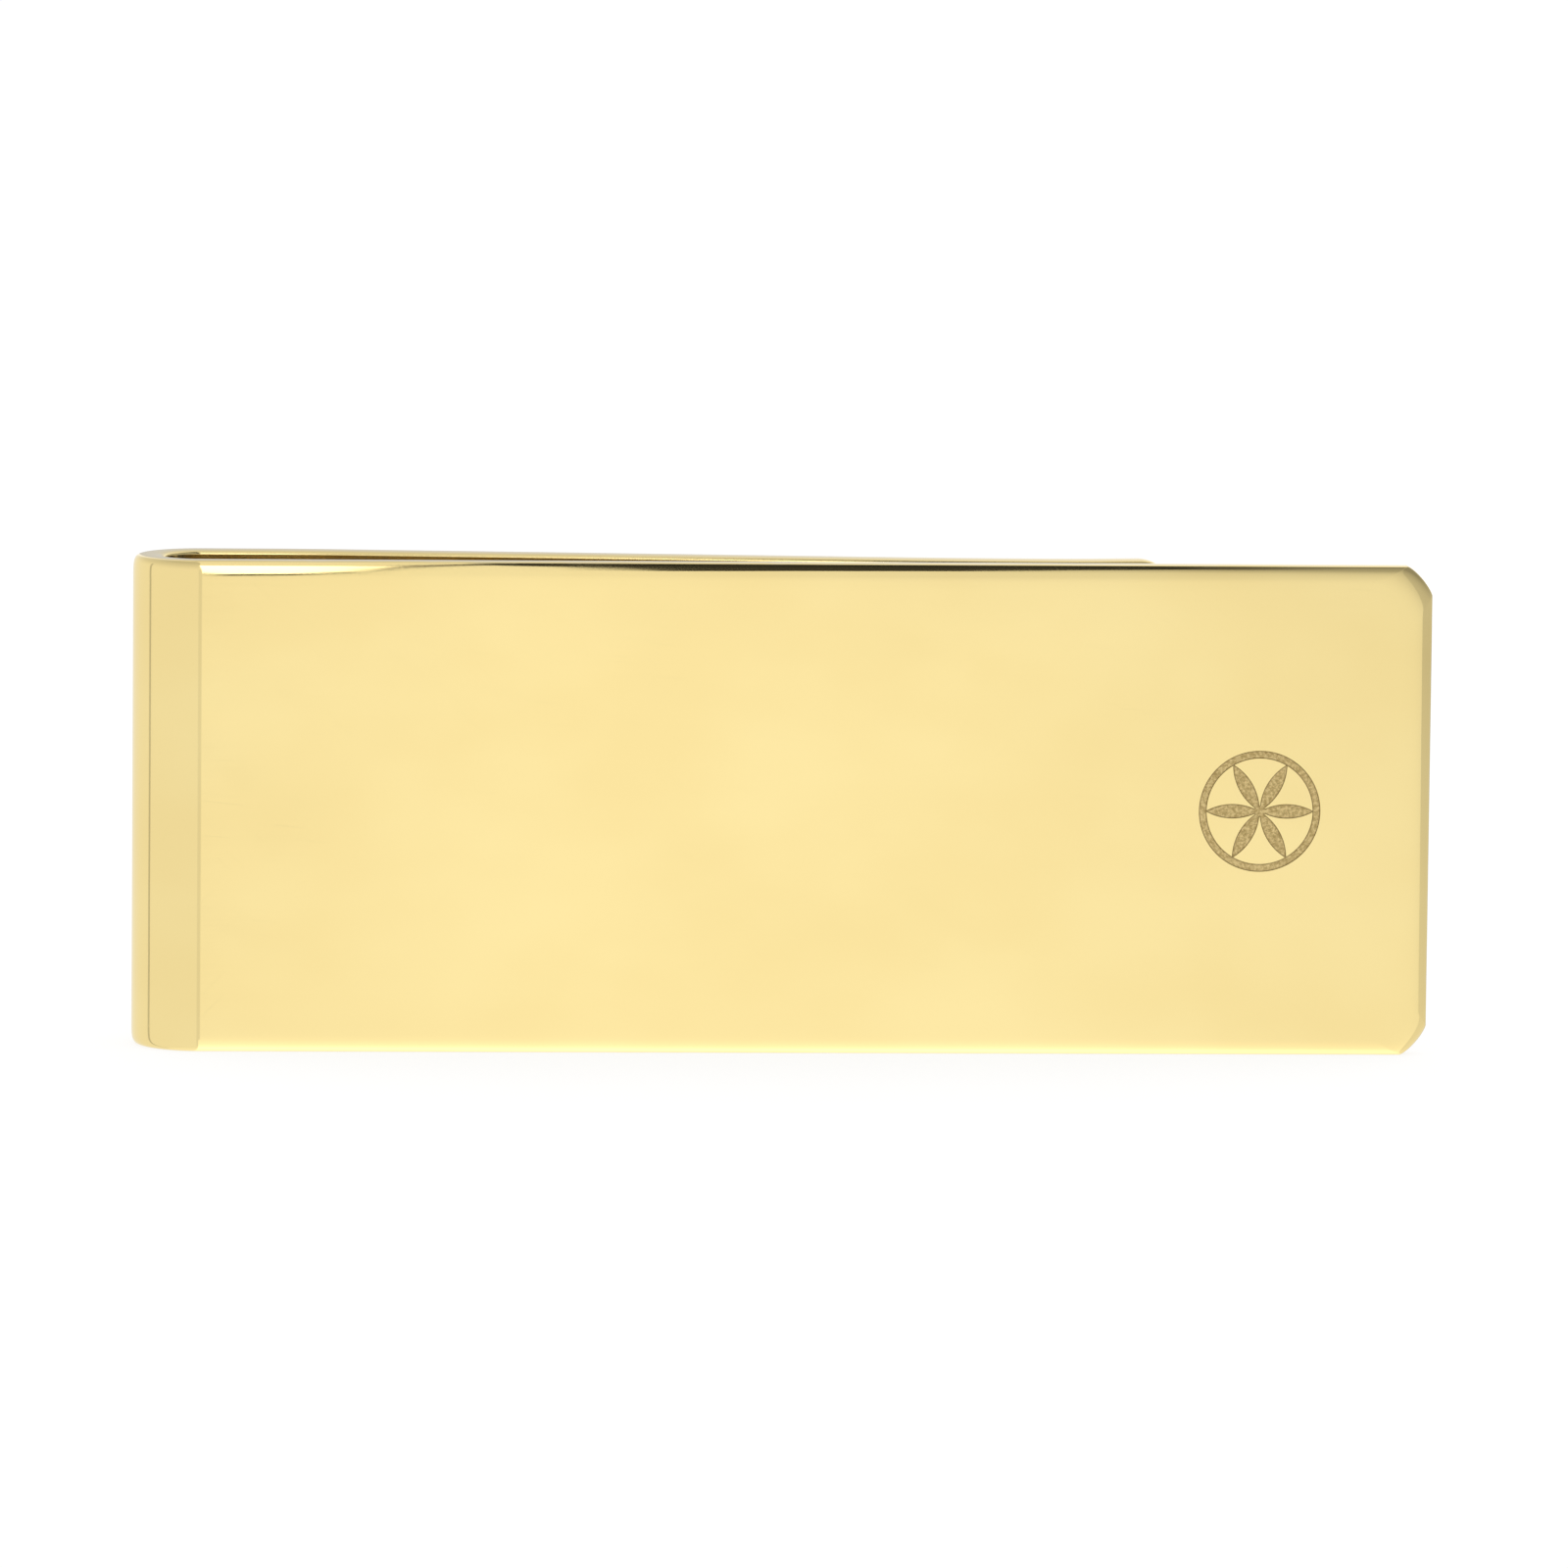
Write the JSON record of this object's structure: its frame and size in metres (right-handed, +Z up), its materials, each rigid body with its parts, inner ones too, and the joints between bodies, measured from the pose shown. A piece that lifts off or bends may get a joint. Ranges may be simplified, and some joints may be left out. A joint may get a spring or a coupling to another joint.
{
  "type": "money clip",
  "caption": "Folded spring-strip money clip with a long front plate, a shorter pinching back leg with a flared tip, and a small etched emblem.",
  "frame": {"origin": "middle of the clip's base, standing on its long edge: midway along its length and midway over its fold", "axes": "+X from the fold to the free end, +Y from the front plate to the back leg, +Z up along the strip's width"},
  "size_m": [0.05, 0.0053, 0.019],
  "materials": {
    "polished_gold": "mirror-polished gold-tone plating with faint handling scratches",
    "etched_gold": "matte, grainy etched surface"
  },
  "bodies": {
    "plate": {"front_plate": "polished_gold", "etched_emblem": "etched_gold"},
    "fold_near": {"fold_front": "polished_gold"},
    "fold_far": {"fold_back": "polished_gold"},
    "arm_root": {"leg_root": "polished_gold"},
    "arm_middle": {"leg_middle": "polished_gold"},
    "arm_grip": {"grip_lip": "polished_gold"}
  },
  "joints": [
    {"name": "plate_flex", "type": "hinge", "parent": "plate", "child": "fold_near", "pos_m": [-0.02235, -0.00205, 0.0095], "axis": [0, 0, 1], "range_deg": [0, 2.4], "stiffness_Nm_per_rad": 63},
    {"name": "fold_flex", "type": "hinge", "parent": "fold_near", "child": "fold_far", "pos_m": [-0.0244, 0, 0.0095], "axis": [0, 0, 1], "range_deg": [0, 0.44]},
    {"name": "root_flex", "type": "hinge", "parent": "fold_far", "child": "arm_root", "pos_m": [-0.02235, 0.00205, 0.0095], "axis": [0, 0, 1], "range_deg": [0, 0.9]},
    {"name": "arm_flex", "type": "hinge", "parent": "arm_root", "child": "arm_middle", "pos_m": [-0.01098, 0.00135, 0.0095], "axis": [0, 0, 1], "range_deg": [0, 0.97]},
    {"name": "grip_flex", "type": "hinge", "parent": "arm_middle", "child": "arm_grip", "pos_m": [-0.00003, 0.00034, 0.0095], "axis": [0, 0, 1], "range_deg": [0, 0.56]}
  ],
  "couplings": [
    {"joint": "fold_flex", "follows": "plate_flex", "ratio": 0.18},
    {"joint": "root_flex", "follows": "plate_flex", "ratio": 0.37},
    {"joint": "arm_flex", "follows": "plate_flex", "ratio": 0.4},
    {"joint": "grip_flex", "follows": "plate_flex", "ratio": 0.23}
  ]
}
